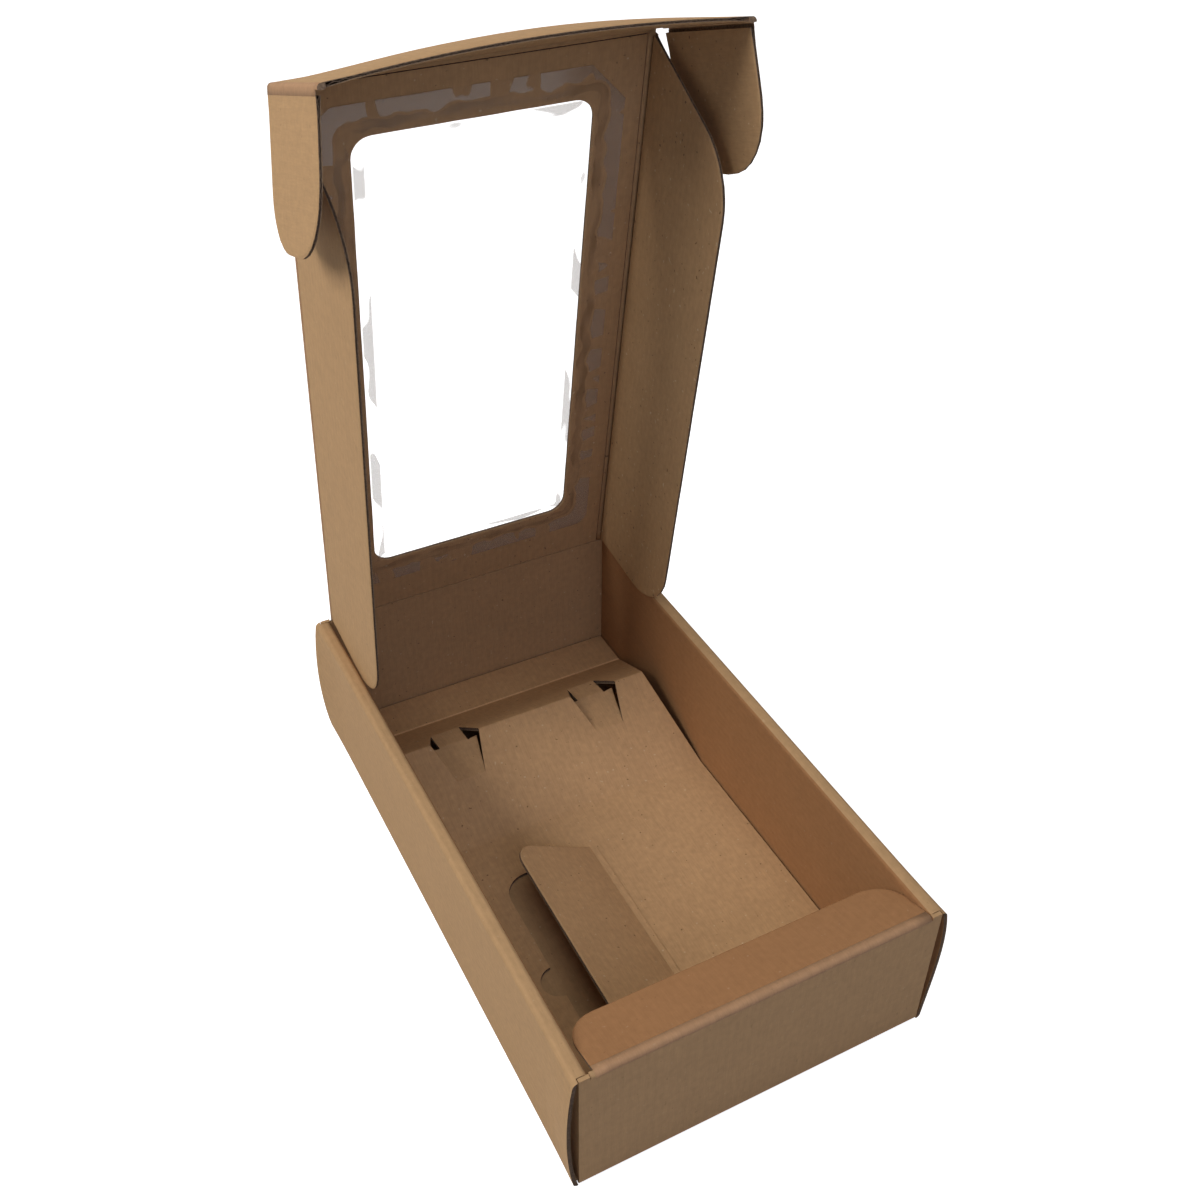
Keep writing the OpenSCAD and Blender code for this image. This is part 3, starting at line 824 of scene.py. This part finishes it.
class BOX_OT_ears(bpy.types.Operator):
    """Ears at the ends of the tuck flap"""

    bl_idname = "giftbox.ears"
    bl_label = "Tuck ears"

    def execute(self, context):
        tuck_out = outward("tuck_flap", JOINTS["tuck_crease"])
        for side in ("left", "right"):
            node = f"tuck_ear_{side}"
            joint = JOINTS[f"{side}_ear_crease"]
            bm = corrugated_panel(node, joint, 1)
            finish_piece(bm, f"{node}_board", f"{side}_ear", node)
            fold_paper(node, joint, tuck_out)
        return {"FINISHED"}


class BOX_OT_lip(bpy.types.Operator):
    """Lip along the top of the front wall"""

    bl_idname = "giftbox.lip"
    bl_label = "Front lip"

    def execute(self, context):
        slot = context.scene.lid_shapes.lip_slot
        joint = JOINTS["lip_crease"]
        toward_left = crease_place("front_lip", joint)[0][0]
        # Half the lip's length, and the length over which its end draws in from the wall
        half = 71.5 * MM
        drawn_in = 30 * MM

        def slotted(co):
            from_end = half + co.x * toward_left
            return Vector((slot * toward_left * max(0.0, 1 - from_end / drawn_in), 0, 0))

        bm = corrugated_panel("front_lip", joint, 0, slotted, faced={OUTSIDE: TURNED_TONE_AND_SHADE})
        finish_piece(bm, "front_lip_board", "lip", "front_lip")
        fold_paper("front_lip", joint, Vector((0, -1, 0)), slotted)
        return {"FINISHED"}


class BOX_OT_divider(bpy.types.Operator):
    """Divider flap that stands up between the bottles"""

    bl_idname = "giftbox.divider"
    bl_label = "Divider"

    def execute(self, context):
        joint = JOINTS["divider_crease"]
        below = Vector((0, 0, -1))
        bm = corrugated_panel("divider_flap", joint, 1, faced={INSIDE: INSERT, MEDIUM: CUT})
        finish_piece(bm, "divider_board", "divider", "divider_flap")
        fold_paper("divider_flap", joint, below, material=OUTSIDE)
        ends = crease_ends("divider_flap", crease_place("divider_flap", joint))
        # The divider bead's ridge is painted pale as a highlight
        crease_bead("divider_bead", "divider_flap", joint, below, *ends, "kraft_insert", 0.8, BEAD_HIGHLIGHT)
        return {"FINISHED"}


class BOX_OT_film(bpy.types.Operator):
    """Clear film glued inside the lid round the window"""

    bl_idname = "giftbox.film"
    bl_label = "Window film"

    def execute(self, context):
        shapes = context.scene.lid_shapes
        place = crease_place("lid_panel", JOINTS["lid_hinge"])
        bm = flat_face("window_film", place, 0)
        cut_across(bm, 0, 2.5 * MM)
        cut_across(bm, 1, 2.5 * MM)
        glued = 7 * MM
        for vertex in bm.verts:
            along, out = round_window(vertex.co.x, vertex.co.y, shapes)
            free = max(0.0, out - glued) / glued + max(0.0, min(1.0, -out / glued))
            wave = noise.noise(Vector((along / (7 * MM), out / (20 * MM), 0)))
            vertex.co.z = -0.04 * MM - shapes.film_ripple * min(1.0, free) * (0.5 + 0.5 * wave)
        thicken(bm, -shapes.film_depth)
        for face in bm.faces:
            face.smooth = True
        map_flat(bm, lambda co, _: round_window(co.x, co.y, shapes))
        bm.transform(place)
        piece = finish_piece(bm, "film_sheet", "lid", "window_film")
        piece.data.materials.clear()
        piece.data.materials.append(bpy.data.materials["clear PET film"])
        return {"FINISHED"}


class BOX_OT_stage(bpy.types.Operator):
    """Pale floor, plain soft lamps and the camera at the photograph's angle"""

    bl_idname = "giftbox.stage"
    bl_label = "Stage"

    def execute(self, context):
        view = context.scene.view_settings_box
        scene = context.scene
        scene.view_settings.view_transform = "Standard"
        floor_half = 6.0
        bm = bmesh.new()
        bmesh.ops.create_grid(bm, x_segments=1, y_segments=1, size=floor_half)
        mesh = bpy.data.meshes.new("floor")
        bm.to_mesh(mesh)
        bm.free()
        floor = bpy.data.objects.new("floor", mesh)
        scene.collection.objects.link(floor)
        mesh.materials.append(pale_floor())
        surround(scene, view.sky)
        aim = (0, 0, 0.12)
        add_lamp("key_lamp", (-1.25, 0.02, 1.18), aim, 0.7, view.key_power)
        add_lamp("top_lamp", (0.0, -0.1, 1.8), aim, 1.0, view.top_power)
        add_lamp("rear_lamp", (-1.0, 0.9, 1.0), aim, 1.0, view.rear_power)
        add_lamp("side_lamp", (1.2, 0.3, 0.9), aim, 1.0, view.side_power)
        add_lamp("fill_lamp", (-0.1, -1.15, 0.85), aim, 0.8, view.fill_power, (0.92, 0.97, 1.22))
        camera = bpy.data.objects.new("camera", bpy.data.cameras.new("camera"))
        scene.collection.objects.link(camera)
        camera.data.lens = view.focal
        camera.data.sensor_width = 36
        # Directions of the camera that the photograph's edges fit
        right = Vector((0.88679, -0.46210, 0.00764))
        down = Vector((-0.28607, -0.56180, -0.77624))
        ahead = Vector((0.36299, 0.68618, -0.63039))
        turned = Matrix((right, -down, -ahead)).transposed().to_4x4()
        turned.translation = view.camera_at
        camera.matrix_world = turned
        scene.camera = camera
        return {"FINISHED"}


def white_for_camera(tree):
    """A factor that is one for rays from the camera, mirrors and clear things."""
    path = add_node(tree, "ShaderNodeLightPath").outputs
    seen = add_node(tree, "ShaderNodeMath", {
        0: path["Is Camera Ray"], 1: path["Is Glossy Ray"]}, operation="MAXIMUM")
    return add_node(tree, "ShaderNodeMath", {0: seen.outputs["Value"], 1: path["Is Transmission Ray"]},
                    operation="MAXIMUM").outputs["Value"]


def pale_floor():
    """Matt white studio card that keeps the box's soft shadow."""
    made, tree = new_material("white studio card")
    card = add_node(tree, "ShaderNodeBsdfDiffuse", {"Color": (0.8, 0.8, 0.8, 1)})
    # Less of the floor's light comes back up to the box, as from a worn table top
    dull = add_node(tree, "ShaderNodeBsdfDiffuse", {"Color": (0.45, 0.45, 0.45, 1)})
    # The camera sees the floor fade to white between 0.5 m and 1.5 m from the box, past the lamps' light
    solid = add_node(tree, "ShaderNodeTexCoord").outputs["Object"]
    far = add_node(tree, "ShaderNodeVectorMath", {0: solid}, operation="LENGTH").outputs["Value"]
    level = add_node(tree, "ShaderNodeMapRange", {
        "Value": far, "From Min": 0.5, "From Max": 1.5, "To Min": 0.86})
    glow = add_node(tree, "ShaderNodeEmission", {"Color": (1, 1, 1, 1), "Strength": level.outputs["Result"]})
    both = add_node(tree, "ShaderNodeAddShader", {0: glow.outputs["Emission"], 1: card.outputs["BSDF"]})
    seen = white_for_camera(tree)
    mixed = add_node(tree, "ShaderNodeMixShader", {0: seen, 1: dull.outputs["BSDF"], 2: both.outputs["Shader"]})
    add_node(tree, "ShaderNodeOutputMaterial", {"Surface": mixed.outputs["Shader"]})
    return made


def surround(scene, strength):
    """Even pale light from all round, which the camera sees as white."""
    scene.world = bpy.data.worlds.new("surroundings")
    scene.world.use_nodes = True
    tree = scene.world.node_tree
    tree.nodes.clear()
    light = add_node(tree, "ShaderNodeBackground", {"Color": (0.95, 0.97, 1.0, 1), "Strength": strength})
    white = add_node(tree, "ShaderNodeBackground", {"Color": (1, 1, 1, 1), "Strength": 1.0})
    mixed = add_node(tree, "ShaderNodeMixShader", {0: white_for_camera(tree), 1: light.outputs["Background"],
                                                   2: white.outputs["Background"]})
    add_node(tree, "ShaderNodeOutputWorld", {"Surface": mixed.outputs["Shader"]})


def add_lamp(name, at, target, size, power, tint=(1, 1, 1)):
    """A square soft lamp at a place, turned towards a target."""
    lamp = bpy.data.objects.new(name, bpy.data.lights.new(name, "AREA"))
    bpy.context.scene.collection.objects.link(lamp)
    lamp.data.size = size
    lamp.data.energy = power
    lamp.data.color = tint
    lamp.location = at
    lamp.rotation_euler = (Vector(target) - Vector(at)).to_track_quat("-Z", "Y").to_euler()
    return lamp


PIECES = [BOX_OT_tray, BOX_OT_insert, BOX_OT_lid, BOX_OT_side_flaps, BOX_OT_tuck_flap, BOX_OT_ears,
          BOX_OT_lip, BOX_OT_divider, BOX_OT_film, BOX_OT_stage]


GROUPS = {
    "board_sizes": BoardSizes,
    "lid_shapes": LidShapes,
    "box_colours": BoxColours,
    "view_settings_box": ViewSettings,
}


class BOX_PT_panel(bpy.types.Panel):
    """Lists the gift box's sizes, colours, lamps and pieces"""

    bl_idname = "BOX_PT_panel"
    bl_label = "Gift Box"
    bl_space_type = "VIEW_3D"
    bl_region_type = "UI"
    bl_category = "Gift Box"

    def draw(self, context):
        for group, kind in GROUPS.items():
            for name in kind.__annotations__:
                self.layout.prop(getattr(context.scene, group), name)
        for operator in PIECES:
            self.layout.operator(operator.bl_idname)


def register():
    for name, group in GROUPS.items():
        bpy.utils.register_class(group)
        setattr(bpy.types.Scene, name, bpy.props.PointerProperty(type=group))
    for made in (*PIECES, BOX_PT_panel):
        bpy.utils.register_class(made)


def unregister():
    for made in (BOX_PT_panel, *reversed(PIECES)):
        bpy.utils.unregister_class(made)
    for name, group in GROUPS.items():
        delattr(bpy.types.Scene, name)
        bpy.utils.unregister_class(group)


def main():
    register()
    for operator in PIECES:
        group, name = operator.bl_idname.split(".")
        getattr(getattr(bpy.ops, group), name)()


if __name__ == "__main__":
    main()
